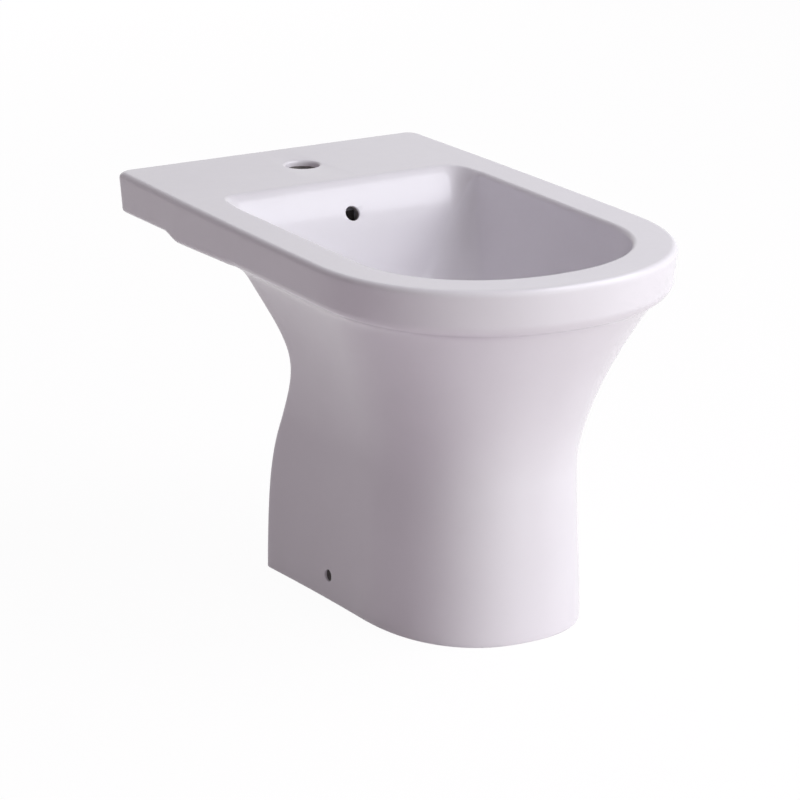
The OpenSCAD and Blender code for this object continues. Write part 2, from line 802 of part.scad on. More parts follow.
module plug_stem() {
  color(brass)
    at_waste() {
      translate([0, 0, shoulder_z]) cylinder(h = plug_boss_z - shoulder_z, d = stem_d);
      translate([0, 0, shoulder_z]) cylinder(h = shoulder_t, d = shoulder_d);
      translate([0, 0, rotor_z]) cylinder(h = shoulder_z - rotor_z, d = spigot_d);
      translate([0, 0, plug_boss_z]) cylinder(h = stem_tip_length, d = stem_tip_d);
    }
}

// A low dome over a thin rim, turned in one piece with the boss that takes the stem
module plug_cap() {
  rim_r = plug_d / 2;
  sphere_r = (rim_r * rim_r + plug_dome * plug_dome) / (2 * plug_dome);
  color(chrome)
    at_waste() translate([0, 0, plug_z])
      difference() {
        union() {
          cylinder(h = plug_rim, d = plug_d);
          rotate_extrude()
            intersection() {
              translate([0, plug_rim + plug_dome - sphere_r]) circle(sphere_r, $fn = 360);
              translate([0, plug_rim / 2]) square([rim_r, plug_rim / 2 + plug_dome + over]);
            }
          translate([0, 0, plug_boss_z - plug_z])
            cylinder(h = plug_z - plug_boss_z + plug_rim / 2, d = plug_boss_d);
        }
        translate([0, 0, plug_boss_z - plug_z - over])
          cylinder(h = stem_tip_length + over + loose_gap, d = stem_tip_d + 2 * thread_gap);
      }
}

module plug_seal() {
  color(black_rubber)
    at_waste() translate([0, 0, plug_z - plug_seal_t])
      ring_part(plug_seal_d, plug_boss_d + 2 * thread_gap, plug_seal_t);
}

// --- Floor fixings --------------------------------------------------------------------------

// Each piece is drawn for the +X side and mirrored for the other
module for_side(side) {
  mirror([side < 0 ? 1 : 0, 0, 0]) translate([0, wall_y(fixing_at), 0]) children();
}

plate_x = fixing_pad_x - bracket_t;

module fixing_bracket(side) {
  foot_x = fixing_pad_x - bracket_reach;
  hole_x = floor_hole_spacing / 2;
  rib = 5;
  rib_low = [foot_x + 4, bracket_t - 1];
  rib_high = [plate_x + 1, bracket_height - 6];
  insert_wall = 3;
  color(white_plastic)
    for_side(side)
      difference() {
        union() {
          translate([foot_x, -bracket_width / 2, 0]) cube([bracket_reach, bracket_width, bracket_t]);
          translate([plate_x, -bracket_width / 2, 0]) cube([bracket_t, bracket_width, bracket_height]);
          for (y = [-bracket_width / 2, bracket_width / 2 - rib])
            translate([0, y + rib, 0]) rotate([90, 0, 0])
              linear_extrude(rib)
                polygon([rib_low, [rib_high.x, rib_low.y], rib_high]);
          translate([plate_x - insert_length + bracket_t, 0, fixing_height])
            rotate([0, 90, 0]) cylinder(h = insert_length, d = insert_d + 2 * insert_wall);
        }
        translate([plate_x - insert_length + bracket_t - over, 0, fixing_height])
          rotate([0, 90, 0]) cylinder(h = insert_length + 2 * over, d = insert_d + 2 * thread_gap);
        translate([hole_x, 0, -over]) cylinder(h = bracket_t + 2 * over, d = floor_hole_d);
      }
}

module bracket_nut(side) {
  color(brass)
    for_side(side) translate([fixing_pad_x - insert_length, 0, fixing_height])
      rotate([0, 90, 0]) ring_part(insert_d, screw_d + 2 * thread_gap, insert_length);
}

module fixing_sleeve(side) {
  color(white_plastic)
    for_side(side) translate([fixing_pad_x, 0, fixing_height])
      rotate([0, 90, 0]) ring_part(fixing_hole_d - 2 * thread_gap, screw_d + 2 * thread_gap, sleeve_length);
}

module fixing_screw(side) {
  screw_end = 3;
  shank = sleeve_length + insert_length + screw_end;
  socket_depth = 2.5;
  socket_d = 5.5;
  color(steel)
    for_side(side) translate([fixing_pad_x + sleeve_length, 0, fixing_height])
      rotate([0, 90, 0])
        difference() {
          union() {
            cylinder(h = screw_head_h, d = screw_head_d);
            translate([0, 0, -shank]) cylinder(h = shank, d = screw_d);
          }
          translate([0, 0, screw_head_h - socket_depth])
            cylinder(h = socket_depth + over, d = socket_d, $fn = 6);
        }
}

module fixing_bracket_left() { fixing_bracket(-1); }
module fixing_bracket_right() { fixing_bracket(1); }
module bracket_nut_left() { bracket_nut(-1); }
module bracket_nut_right() { bracket_nut(1); }
module fixing_sleeve_left() { fixing_sleeve(-1); }
module fixing_sleeve_right() { fixing_sleeve(1); }
module fixing_screw_left() { fixing_screw(-1); }
module fixing_screw_right() { fixing_screw(1); }

china_body();
waste_body();
waste_top_seal();
waste_lower_gasket();
waste_slip_washer();
waste_back_nut();
latch_housing();
latch_nut();
latch_bush();
latch_rotor();
return_spring();
plug_stem();
plug_cap();
plug_seal();
fixing_bracket_left();
fixing_bracket_right();
bracket_nut_left();
bracket_nut_right();
fixing_sleeve_left();
fixing_sleeve_right();
fixing_screw_left();
fixing_screw_right();
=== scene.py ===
"""Looks of a floor standing bidet: a glazed china casting, its chromed waste and its floor fixings.

The china is built here once more as one smooth skin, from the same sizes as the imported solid, and stands
for that solid. So does a spring wound from round wire, and a waste whose tube has its thread. Sizes are in
millimetres in the shape functions and become metres when a mesh is made. Distances called "from the wall"
run forward, towards -Y.
"""

import json
import math

import bmesh
import bpy
import numpy as np
from mathutils import Matrix, Vector


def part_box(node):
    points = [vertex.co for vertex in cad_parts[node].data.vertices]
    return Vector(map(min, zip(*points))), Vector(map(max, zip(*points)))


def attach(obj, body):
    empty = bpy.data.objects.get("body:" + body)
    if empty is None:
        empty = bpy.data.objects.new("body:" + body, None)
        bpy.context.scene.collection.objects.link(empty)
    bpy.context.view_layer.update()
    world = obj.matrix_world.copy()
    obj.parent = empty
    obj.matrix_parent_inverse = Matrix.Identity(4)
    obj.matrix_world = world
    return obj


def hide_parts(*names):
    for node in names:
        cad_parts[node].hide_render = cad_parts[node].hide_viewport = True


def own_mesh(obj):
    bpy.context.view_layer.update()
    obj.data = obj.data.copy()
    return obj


MM = 0.001
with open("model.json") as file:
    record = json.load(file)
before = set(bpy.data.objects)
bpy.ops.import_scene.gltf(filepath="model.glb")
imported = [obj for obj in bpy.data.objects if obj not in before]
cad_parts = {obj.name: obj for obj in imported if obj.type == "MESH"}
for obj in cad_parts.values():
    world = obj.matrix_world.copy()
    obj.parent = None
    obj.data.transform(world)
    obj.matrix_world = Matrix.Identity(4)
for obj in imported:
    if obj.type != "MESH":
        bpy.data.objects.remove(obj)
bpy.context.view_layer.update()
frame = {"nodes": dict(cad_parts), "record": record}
nodes = frame["nodes"]
scene = bpy.context.scene

# --- Camera ---------------------------------------------------------------------------------------

CAMERA_PLACE = (-1.99843, -3.29406, 1.38425)
CAMERA_AZIMUTH, CAMERA_ELEVATION, CAMERA_ROLL = -31.008, 17.224, 0.235
CAMERA_LENS = 180


def make_camera():
    az, el, roll = (math.radians(a) for a in (CAMERA_AZIMUTH, CAMERA_ELEVATION, CAMERA_ROLL))
    back = Vector((math.sin(az) * math.cos(el), -math.cos(az) * math.cos(el), math.sin(el)))
    right = Vector((math.cos(az), math.sin(az), 0))
    up = back.cross(right)
    right, up = right * math.cos(roll) + up * math.sin(roll), up * math.cos(roll) - right * math.sin(roll)
    camera = bpy.data.objects.new("camera", bpy.data.cameras.new("camera"))
    camera.matrix_world = Matrix((right, up, back)).transposed().to_4x4()
    camera.location = CAMERA_PLACE
    camera.data.lens = CAMERA_LENS
    camera.data.clip_end = 100
    scene.collection.objects.link(camera)
    scene.camera = camera


make_camera()

# --- Meshes ---------------------------------------------------------------------------------------


def new_object(name, points, faces):
    """A mesh object from points in millimetres."""
    mesh = bpy.data.meshes.new(name)
    mesh.from_pydata((np.asarray(points, float) * MM).tolist(), [], faces)
    mesh.update()
    piece = bpy.data.objects.new(name, mesh)
    scene.collection.objects.link(piece)
    return piece


def loft(name, rings):
    """A closed skin through rings of points. The rings run clockwise, seen from where the last ring lies."""
    count = len(rings[0])
    faces = []
    for k in range(len(rings) - 1):
        for i in range(count):
            j = (i + 1) % count
            faces.append((k * count + i, k * count + j, (k + 1) * count + j, (k + 1) * count + i)[::-1])
    last = (len(rings) - 1) * count
    faces.append(tuple(range(count)))
    faces.append(tuple(range(last + count - 1, last - 1, -1)))
    return new_object(name, np.concatenate(rings), faces)


def turned(name, profile, steps=96):
    """A closed solid turned about Z from a profile of (radius, height), listed upwards along its outside."""
    angles = np.linspace(0, 2 * math.pi, steps, endpoint=False)
    around = np.stack([np.cos(angles), np.sin(angles)], 1)
    points = np.concatenate([np.column_stack([around * r, np.full(steps, z)]) for r, z in profile])
    faces = []
    count = len(profile)
    for k in range(count):
        m = (k + 1) % count
        for i in range(steps):
            j = (i + 1) % steps
            faces.append((k * steps + i, k * steps + j, m * steps + j, m * steps + i))
    return new_object(name, points, faces)


def capped(name, profile, steps=96):
    """Like turned, with flat discs that close its lowest and highest rings."""
    angles = np.linspace(0, 2 * math.pi, steps, endpoint=False)
    around = np.stack([np.cos(angles), np.sin(angles)], 1)
    rings = [np.column_stack([around * r, np.full(steps, z)])[::-1] for r, z in profile]
    return loft(name, rings)


def moved(piece, matrix):
    piece.data.transform(matrix)
    return piece


def combine(base, tool, how):
    """Adds the tool to the base, or takes it away, and deletes the tool."""
    change = base.modifiers.new("combine", "BOOLEAN")
    change.operation = how
    change.object = tool
    change.solver = "MANIFOLD"
    apply_modifiers(base)
    bpy.data.objects.remove(tool)
    return base


def apply_modifiers(piece):
    mesh = bpy.data.meshes.new_from_object(piece.evaluated_get(bpy.context.evaluated_depsgraph_get()))
    piece.modifiers.clear()
    old, piece.data = piece.data, mesh
    bpy.data.meshes.remove(old)


def shade_smooth(piece, angle=35):
    """Smooth shading that keeps an edge where two faces meet more sharply than the angle."""
    mesh = piece.data
    mesh.shade_smooth()
    work = bmesh.new()
    work.from_mesh(mesh)
    limit = math.radians(angle)
    for edge in work.edges:
        edge.smooth = edge.calc_face_angle(0) < limit
    work.to_mesh(mesh)
    work.free()


# --- China: outlines ------------------------------------------------------------------------------

low, high = (np.array(c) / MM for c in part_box("china_body"))
HEIGHT, DEPTH, WIDTH = high[2], high[1] - low[1], high[0] - low[0]
WALL = 12

# D-shaped outlines: distance from the wall to the rear edge, half-width there, greatest half-width,
# distance to where the rounded front begins, distance to the front, its squareness, corner radius
RIM = (0, 180, WIDTH / 2, 425, DEPTH, 2.15, 12)
FOOT = (199, 114.5, 109.5, 379, 523, 2.35, 4)
FLARE = (257, 172.5, WIDTH / 2 - 15, 425, DEPTH - 15, 2.15, 4)
BOWL = (178, 142, 143, 433, 564, 2.15, 20)

RIM_EDGE_R = 6
BAND_HEIGHT, BAND_REAR_HEIGHT, SKIRT_FALL, FRONT_FALL = 44.5, 37.5, 6.5, 3.5
BAND_STEP_AT, BAND_STEP_RUN = 119, 34
BAND_LEAN, BAND_ROUND_R, SKIRT_ROUND_R, FRONT_ROUND_R = 3, 8, 5, 11
FOOT_EDGE_R = 2
WAIST_HEIGHT, WAIST_ROUND_R, WAIST_INSET, FLARE_BEND = 156, 9, 4, 1.55
THROAT_REAR, THROAT_HEIGHT, REAR_BEND_START, REAR_BEND = 276, 262, 30, 1.82
FLARE_Z = HEIGHT - BAND_HEIGHT
CREASE_R, CREASE_WIDTH, CREASE_RINGS, CREASE_PASSES = 9, 6, 30, 28
BACKFILL, BACKFILL_FROM = 130, (150, 175)

BOWL_EDGE_R, BOWL_DEPTH, BOWL_FLOOR_R = 5, 160, 34
ROLL_START_R, ROLL_R, ROLL_TURN, ROLL_FADE = 12, 52, math.radians(33), 4
WASTE_AT = 300
REAR_STEEPNESS, SIDE_STEEPNESS, FRONT_STEEPNESS, CORNER_GROWTH = 1.6, 1.8, 1.6, 75

# Points on the stretches of a half outline: rear edge, rear corner, the deck's skirt, the turn where the
# pedestal's rear edge begins, the side and the rounded front
REAR, CORNER, SKIRT, TURN, SIDE, FRONT = 8, 12, 30, 6, 24, 60

# The skirt's points before and after the band's step, and the share of the step's run that the rest reach to
BEFORE_STEP, AFTER_STEP, STEP_REACH = 5, 7, 0.6

# Rings on the stretches of the skin: the foot's edge, the pedestal, the bend into the crease, the band's
# lower edge and the rim's edge, with shares of the band's face for the rings between the last two
FOOT_RINGS, PEDESTAL_RINGS, BEND_RINGS, BAND_RINGS, RIM_RINGS = 6, 84, 10, 12, 10
PEDESTAL_FROM, BAND_SHARES = 5, (0.08, 0.5, 0.92)

# The same for the opening's rolled edge and the bowl, and the sections that the bowl's rings are read from
ROLL_RINGS, BOWL_RINGS, BOWL_CROWDING, BOWL_LEVELS = 25, 60, 0.8, 320

# The strip of flat deck beside its two edges, and how near a point lies to count as on the rear edge
FLAT_STRIP, ON_EDGE = 0.8, 0.01


def mix(a, b, t):
    return a + (b - a) * t


def ease(t):
    return (1 - np.cos(np.pi * np.clip(t, 0, 1))) / 2


def wall_y(d):
    return DEPTH / 2 - d


def shares(count):
    return np.linspace(0, 1, count, endpoint=False)


def rim_stations():
    """Shares of the rim's side: close together at the band's step, and in line with the pedestal's side."""
    start, end = RIM[6], RIM[3]
    count = SKIRT - BEFORE_STEP - AFTER_STEP
    step = BAND_STEP_AT + BAND_STEP_RUN * np.linspace(-STEP_REACH, STEP_REACH, count)
    before = start + (step[0] - start) * shares(BEFORE_STEP)
    after = np.linspace(step[-1], FLARE[0] - FLARE[6], AFTER_STEP + 2)[1:-1]
    turn = FLARE[0] + FLARE[6] * np.linspace(-1, 1, TURN + 1)[:-1]
    side = mix(FLARE[0] + FLARE[6], end, shares(SIDE))
    return (np.concatenate([before, step, after, turn, side]) - start) / (end - start)


RIM_WAY = (REAR, CORNER, rim_stations())
PEDESTAL_WAY = (REAR + CORNER + SKIRT, TURN, shares(SIDE))
BOWL_WAY = (REAR, CORNER, shares(SKIRT + TURN + SIDE))


def outline(d, way, inset=0):
    """A whole outline, clockwise from above, starting in the middle of its rear edge."""
    rear_count, corner_count, stations = way
    rear, w0, w1 = wall_y(d[0] + inset), d[1] - inset, d[2] - inset
    straight, front, power, r = wall_y(d[3]), wall_y(d[4] - inset), 2 / d[5], d[6]
    edge = np.stack([(w0 - r) * shares(rear_count), np.full(rear_count, rear)], 1)
    a = np.pi / 2 * shares(corner_count)
    corner = np.stack([w0 - r + r * np.sin(a), rear - r + r * np.cos(a)], 1)
    side = np.stack([w1 - (w1 - w0) * (1 - stations) ** 2, mix(rear - r, straight, stations)], 1)
    a = np.pi / 2 * np.linspace(0, 1, FRONT + 1)
    nose = np.stack([
        w1 * np.clip(np.cos(a), 0, 1) ** power, straight - (straight - front) * np.sin(a) ** power
    ], 1)
    half = np.concatenate([edge, corner, side, nose])
    half[-1, 0] = 0
    return np.concatenate([half, (half * (-1, 1))[-2:0:-1]])


def at_height(points, z):
    return np.column_stack([points, np.broadcast_to(z, len(points))])


# --- China: outside -------------------------------------------------------------------------------


def growth(z):
    """How far the section has grown from the foot's outline towards the flare's."""
    waist = -WAIST_INSET / (FLARE[2] - FOOT[2])
    if z < WAIST_HEIGHT:
        return waist * ease(z / WAIST_HEIGHT)
    above = [math.hypot(h - WAIST_HEIGHT, WAIST_ROUND_R) - WAIST_ROUND_R for h in (z, FLARE_Z)]
    return mix(waist, 1, (above[0] / above[1]) ** FLARE_BEND)


def rear_edge(z):
    if z < THROAT_HEIGHT:
        rise = max(0, z - REAR_BEND_START) / (THROAT_HEIGHT - REAR_BEND_START)
        return mix(FOOT[0], THROAT_REAR, ease(rise ** REAR_BEND))
    return mix(THROAT_REAR, FLARE[0], ease((z - THROAT_HEIGHT) / (FLARE_Z - THROAT_HEIGHT)))


def pedestal_shape(z):
    g = growth(z)
    return (rear_edge(z), *(mix(FOOT[i], FLARE[i], g) for i in range(1, 6)), FOOT[6])


def backfill(points, z):
    """Moves the rear edge back, apart from its ends, to fill the space in which the bowl hangs.

    What the bowl, its passage and the waste's boss leave of this filling is taken away with the hollow.
    """
    rear = points[:, 1].max()
    inner = np.clip((points[:, 0].max() - 1.5 * WALL - np.abs(points[:, 0])) / WALL, 0, 1)
    share = inner * ease((z - BACKFILL_FROM[0]) / (BACKFILL_FROM[1] - BACKFILL_FROM[0]))
    points = points.copy()
    points[:, 1] += np.where(points[:, 1] > rear - ON_EDGE, share * (wall_y(FLARE[0] - BACKFILL) - rear), 0)
    return points


def pedestal_ring(z, inset=0):
    return at_height(backfill(outline(pedestal_shape(z), PEDESTAL_WAY, inset), z), z)


def skirt_share(y):
    return np.clip(1 - (DEPTH / 2 - y) / FLARE[0], 0, 1)


def front_share(y):
    return ease((wall_y(RIM[3]) - y) / (DEPTH - RIM[3]))


def band_depth(y):
    """How deep the band is: it steps down beside the bowl, and falls towards the front and the wall."""
    start = wall_y(BAND_STEP_AT - BAND_STEP_RUN / 2)
    depth = mix(BAND_REAR_HEIGHT, BAND_HEIGHT, ease((start - y) / BAND_STEP_RUN))
    return depth + SKIRT_FALL * skirt_share(y) + FRONT_FALL * front_share(y)


def band_round(y):
    """The radius of the band's lower edge."""
    beside = mix(BAND_ROUND_R, SKIRT_ROUND_R, ease(skirt_share(y) / skirt_share(wall_y(BAND_STEP_AT))))
    return mix(beside, FRONT_ROUND_R, front_share(y))


def band_ring(a):
    """A ring round the band's lower edge, at an angle that is 0 underneath and 90 degrees at its face."""
    foot = (-BAND_LEAN, *RIM[1:])
    outer, inner = (outline(foot, RIM_WAY, BAND_LEAN + r) for r in (0, FRONT_ROUND_R))
    r = band_round(outer[:, 1])
    points = outer + (inner - outer) * ((1 - math.sin(a)) * r / FRONT_ROUND_R)[:, None]
    return at_height(points, HEIGHT - band_depth(points[:, 1]) + r * (1 - math.cos(a)))


def arc(count):
    return np.radians(np.linspace(0, 90, count))


def outside_rings():
    """From the foot's lower edge up to the flat of the deck."""
    rings = [at_height(outline(pedestal_shape(0), PEDESTAL_WAY, FOOT_EDGE_R * (1 - math.sin(a))),
                       FOOT_EDGE_R * (1 - math.cos(a))) for a in arc(FOOT_RINGS)]
    crease_from = FLARE_Z - FRONT_FALL - CREASE_R
    rings += [pedestal_ring(z) for z in np.linspace(PEDESTAL_FROM, crease_from, PEDESTAL_RINGS)]
    last = rings[-1]
    band = [band_ring(a) for a in arc(BAND_RINGS)]
    fall = front_share(band[0][:, 1])[:, None]
    corner = mix(pedestal_ring(FLARE_Z), pedestal_ring(FLARE_Z - FRONT_FALL), fall)
    for t in np.linspace(0, 1, BEND_RINGS)[1:-1]:
        rings.append((1 - t) ** 2 * last + 2 * t * (1 - t) * corner + t ** 2 * band[0])
    rings += band
    soft = np.array(rings[-CREASE_RINGS:])
    near = np.clip(2 - np.linalg.norm(corner - band[0], axis=1) / CREASE_WIDTH, 0, 1)[:, None]
    for _ in range(CREASE_PASSES):
        soft[1:-1] += (soft[:-2] / 2 + soft[2:] / 2 - soft[1:-1]) / 2 * near
    rings[-CREASE_RINGS:] = list(soft)
    edge = [at_height(outline(RIM, RIM_WAY, RIM_EDGE_R * (1 - math.cos(a))),
                      HEIGHT - RIM_EDGE_R * (1 - math.sin(a))) for a in arc(RIM_RINGS)]
    rings += [mix(band[-1], edge[0], t) for t in BAND_SHARES] + edge
    rings.append(at_height(outline(RIM, RIM_WAY, RIM_EDGE_R + FLAT_STRIP), HEIGHT))
    return rings


# --- China: bowl ----------------------------------------------------------------------------------


def wall_reach(u, steepness):
    """The share of its reach that a wall keeps, at a share u of the bowl's depth."""
    return max(0, 1 - u ** steepness) ** (1 / steepness)


def bowl_shape(u, skin=0):
    floor_r = BOWL_FLOOR_R + skin
    side = wall_reach(u, SIDE_STEEPNESS)
    w0 = mix(floor_r, BOWL[1] + skin, side)
    return (
        mix(WASTE_AT - floor_r, BOWL[0] - skin, wall_reach(u, REAR_STEEPNESS)),
        w0, mix(floor_r, BOWL[2] + skin, side), mix(WASTE_AT, BOWL[3], side),
        mix(WASTE_AT + floor_r, BOWL[4] + skin, wall_reach(u, FRONT_STEEPNESS)),
        mix(2, BOWL[5], side), min(w0 - 4, BOWL[6] + skin + CORNER_GROWTH * u * u),
    )


def opening():
    """The upright wall's outline, its outward directions and how much of the rear roll each point has."""
    points = outline(BOWL, BOWL_WAY)
    along = np.roll(points, -1, 0) - np.roll(points, 1, 0)
    outward = np.stack([-along[:, 1], along[:, 0]], 1) / np.linalg.norm(along, axis=1)[:, None]
    return points, outward, np.clip(outward[:, 1], 0, 1) ** ROLL_FADE


def roll(tilt, share):
    """How far the edge is down from the deck, and out from the wall, where it has tilted so far.

    The edge is an arc on the sides. At the rear it turns over quickly and then slides into the wall.
    """
    near, far = mix(BOWL_EDGE_R, ROLL_START_R, share), mix(BOWL_EDGE_R, ROLL_R, share)
    first, second = min(tilt, ROLL_TURN), max(tilt, ROLL_TURN)
    drop = near * (1 - math.cos(first)) + far * (math.cos(ROLL_TURN) - math.cos(second))
    return drop, near * (math.sin(ROLL_TURN) - math.sin(first)) + far * (1 - math.sin(second))


def bowl_rings():
    """From the flat of the deck, over the opening's rolled edge, down to the bowl's floor."""
    points, outward, share = opening()
    count = len(points)
    levels = np.array([outline(bowl_shape(u), BOWL_WAY) for u in np.linspace(0, 1, BOWL_LEVELS + 1)])

    def section(u):
        """The bowl's outline, with a share of its depth for each point."""
        place = np.clip(u * BOWL_LEVELS, 0, BOWL_LEVELS - 0.001)
        floor = place.astype(int)
        own = np.arange(count)
        return mix(levels[floor, own], levels[floor + 1, own], (place - floor)[:, None])

    rings = [at_height(points + outward * (roll(0, share)[1] + FLAT_STRIP)[:, None], HEIGHT)]
    for tilt in arc(ROLL_RINGS):
        drop, out = roll(tilt, share)
        rings.append(at_height(section(drop / BOWL_DEPTH) + outward * out[:, None], HEIGHT - drop))
    for v in np.linspace(0, 1, BOWL_RINGS)[1:] ** BOWL_CROWDING:
        u = mix(drop / BOWL_DEPTH, 1, v)
        rings.append(at_height(section(u), HEIGHT - BOWL_DEPTH * u))
    return rings


# --- China: hollows -------------------------------------------------------------------------------

# The holes and the pads behind them, the overflow passage (its path in shares of the bowl's depth), the
# outer faces of the fixing holes, and how many lips deep into a hole the painted shade of its bore begins
TAP_HOLE_R, TAP_HOLE_AT, TAP_LIP_R, TAP_PAD_R, TAP_PAD_DEPTH = 17.5, 74.5, 3, 31, 17
OVERFLOW_R, OVERFLOW_DROP, OVERFLOW_LIP_R = 7.75, 29, 1.2
DUCT_WIDTH, DUCT_GAP, DUCT_WALL, DUCT_SINK, DUCT_CORNER = 34, 13, 8, 1, 0.6
DUCT_FROM, DUCT_TO, DUCT_POINTS, DUCT_END = 0.13, 0.92, 14, 4
FIXING_R, FIXING_AT, FIXING_HEIGHT, FIXING_PAD_R, FIXING_PAD_X = 6, 318, 26, 18, 90
FIXING_FACE_X, FIXING_LIP_R = 109.8, 1
SHADE_FROM_LIPS = 2

# The waste's seat, its boss and the chamber that the overflow passage ends in
SEAT_R, SEAT_DEPTH, BOSS_R, BOSS_HEIGHT, DRAIN_R = 33, 5, 43, 44, 23
CHAMBER_R, CHAMBER_RISE, CHAMBER_HEIGHT = 31, 11, 18
SEAT_Z = HEIGHT - BOWL_DEPTH - SEAT_DEPTH
BOSS_Z = SEAT_Z - BOSS_HEIGHT
CHAMBER_Z = BOSS_Z + CHAMBER_RISE

# How far cutters run past what they cut, and how finely the hollow is made and softened
OVER = 1
UNDER_FLOOR, HOLLOW_RINGS, UNDER_DECK_BACK = 30, 60, 2
SKIN_RINGS, SKIN_FROM, SKIN_CROWDING = 50, 0.02, 0.85
HOLLOW_VOXEL, HOLLOW_SMOOTHING = 0.0028, 8
LIP_RINGS, OVERFLOW_PAST, OVERFLOW_BEFORE, FIXING_BEFORE = 9, 4, 20, 10
WELD = 1e-6


def drum(name, r, low_z, high_z, steps=96):
    return capped(name, [(r, low_z), (r, high_z)], steps)


def at_point(x, d, z=0, turn=Matrix.Identity(4)):
    return Matrix.Translation(Vector((x, wall_y(d), z)) * MM) @ turn


def rim_hollow(name, low_z, high_z):
    points = outline((-BAND_LEAN, *RIM[1:]), RIM_WAY, WALL + BAND_LEAN)
    return loft(name, [at_height(points, low_z), at_height(points, high_z)])


def cuboid(name, corner, size):
    corner, size = np.array(corner, float), np.array(size, float)
    square = np.array([(0, 1), (1, 1), (1, 0), (0, 0)])
    return loft(name, [np.column_stack([corner[:2] + square * size[:2], np.full(4, corner[2] + h * size[2])])
                       for h in (0, 1)])


def rear_face(u):
    """Distance from the wall to the bowl's rear face, at a share of its depth."""
    return mix(WASTE_AT - BOWL_FLOOR_R, BOWL[0], wall_reach(u, REAR_STEEPNESS))


def duct_path():
    """Middle of the overflow passage, as (distance from the wall, height), down from inside the deck."""
    back = WALL + DUCT_GAP / 2 - DUCT_SINK
    path = [(BOWL[0] - back, HEIGHT - WALL / 2)]
    for u in np.linspace(DUCT_FROM, DUCT_TO, DUCT_POINTS):
        path.append((rear_face(u) - back, HEIGHT - BOWL_DEPTH * u - back * u ** 4))
    middle = CHAMBER_Z + CHAMBER_HEIGHT / 2
    return np.array(path + [(WASTE_AT - BOSS_R + DUCT_END, middle), (WASTE_AT - BOSS_R / 2, middle)])


def duct(name, grow, first=0):
    """A flat tube along the overflow passage, wider than the passage by grow on every side."""
    path = duct_path()[first:]
    along = np.gradient(path, axis=0)
    along /= np.linalg.norm(along, axis=1)[:, None]
    w, g = DUCT_WIDTH / 2 + grow, DUCT_GAP / 2 + grow
    c = min(w, g) * DUCT_CORNER
    corners = [(sx * (w - c) + c * math.cos(a), sy * (g - c) + c * math.sin(a))
               for sx, sy, start in ((-1, 1, 180), (1, 1, 90), (1, -1, 0), (-1, -1, -90))
               for a in np.radians(np.linspace(start, start - 90, 5))]
    rings = [np.array([(x, wall_y(p[0] + t[1] * q), p[1] - t[0] * q) for x, q in corners])
             for p, t in zip(path, along)]
    return loft(name, rings[::-1])


def hollow_space():
    """All the room inside the casting, as one solid with softened edges."""
    rings = []
    for z in np.concatenate([[-UNDER_FLOOR], np.linspace(0, FLARE_Z, HOLLOW_RINGS), [FLARE_Z + WALL + OVER]]):
        d = pedestal_shape(min(max(0, z), FLARE_Z))
        rings.append(at_height(outline((FLARE[0] - BACKFILL - WALL, *d[1:]), PEDESTAL_WAY, WALL), z))
    space = loft("hollow", rings)
    combine(space, rim_hollow("under_rim", FLARE_Z + WALL, HEIGHT - WALL), "UNION")
    under_deck = rim_hollow("under_deck", FLARE_Z - 2 * WALL, FLARE_Z + WALL + OVER)
    reach = FLARE[0] - UNDER_DECK_BACK
    keep = cuboid("keep", (-WIDTH / 2, wall_y(reach), FLARE_Z - 3 * WALL), (WIDTH, reach, 5 * WALL))
    combine(space, combine(under_deck, keep, "INTERSECT"), "UNION")
    skin = [at_height(outline(bowl_shape(u, WALL), BOWL_WAY), HEIGHT - (BOWL_DEPTH + WALL) * u)
            for u in np.linspace(SKIN_FROM, 1, SKIN_RINGS)[::-1] ** SKIN_CROWDING]
    combine(space, loft("bowl_skin", skin), "DIFFERENCE")
    combine(space, duct("duct_skin", DUCT_WALL), "DIFFERENCE")
    combine(space, moved(drum("boss", BOSS_R, BOSS_Z, SEAT_Z), at_point(0, WASTE_AT)), "DIFFERENCE")
    tap_pad = drum("tap_pad", TAP_PAD_R, HEIGHT - TAP_PAD_DEPTH, HEIGHT)
    combine(space, moved(tap_pad, at_point(0, TAP_HOLE_AT)), "DIFFERENCE")
    for side in (-1, 1):
        pad = drum("fixing_pad", FIXING_PAD_R, FIXING_PAD_X, FOOT[1])
        combine(space, moved(pad, sideways(side)), "DIFFERENCE")
    soften(space)
    return space


def sideways(side):
    """Turns a solid that stands on Z so that it lies along a fixing hole."""
    return at_point(0, FIXING_AT, FIXING_HEIGHT, Matrix.Rotation(side * math.pi / 2, 4, "Y"))


def soften(piece):
    """Rounds every edge and corner, as slip casting does to the side that nobody sees."""
    remesh = piece.modifiers.new("remesh", "REMESH")
    remesh.mode = "VOXEL"
    remesh.voxel_size = HOLLOW_VOXEL
    smooth = piece.modifiers.new("smooth", "SMOOTH")
    smooth.factor = 0.5
    smooth.iterations = HOLLOW_SMOOTHING
    apply_modifiers(piece)


# --- China: casting -------------------------------------------------------------------------------


def lipped_hole(name, r, lip, low_z, high_z, steps=128):
    """A cutter for a hole whose mouth opens out in a quarter round at height 0."""
    mouth = [(r + lip * (1 - math.cos(a)), -lip * (1 - math.sin(a))) for a in arc(LIP_RINGS)]
    # The ring below the mouth is where the painted shade of the bore begins
    return capped(name, [(r, low_z), (r, -SHADE_FROM_LIPS * lip)] + mouth + [(r + lip, high_z)], steps)


def overflow_place():
    """The middle of the overflow's mouth, with Z along the rear wall's normal."""
    drops, outs = np.transpose([roll(tilt, 1) for tilt in arc(91)])
    above, there, below = (rear_face(drop / BOWL_DEPTH) - np.interp(drop, drops, outs)
                           for drop in (OVERFLOW_DROP - 1, OVERFLOW_DROP, OVERFLOW_DROP + 1))
    facing = Matrix.Rotation(math.pi / 2 - math.atan2(below - above, 2), 4, "X")
    return at_point(0, there, HEIGHT - OVERFLOW_DROP, facing)


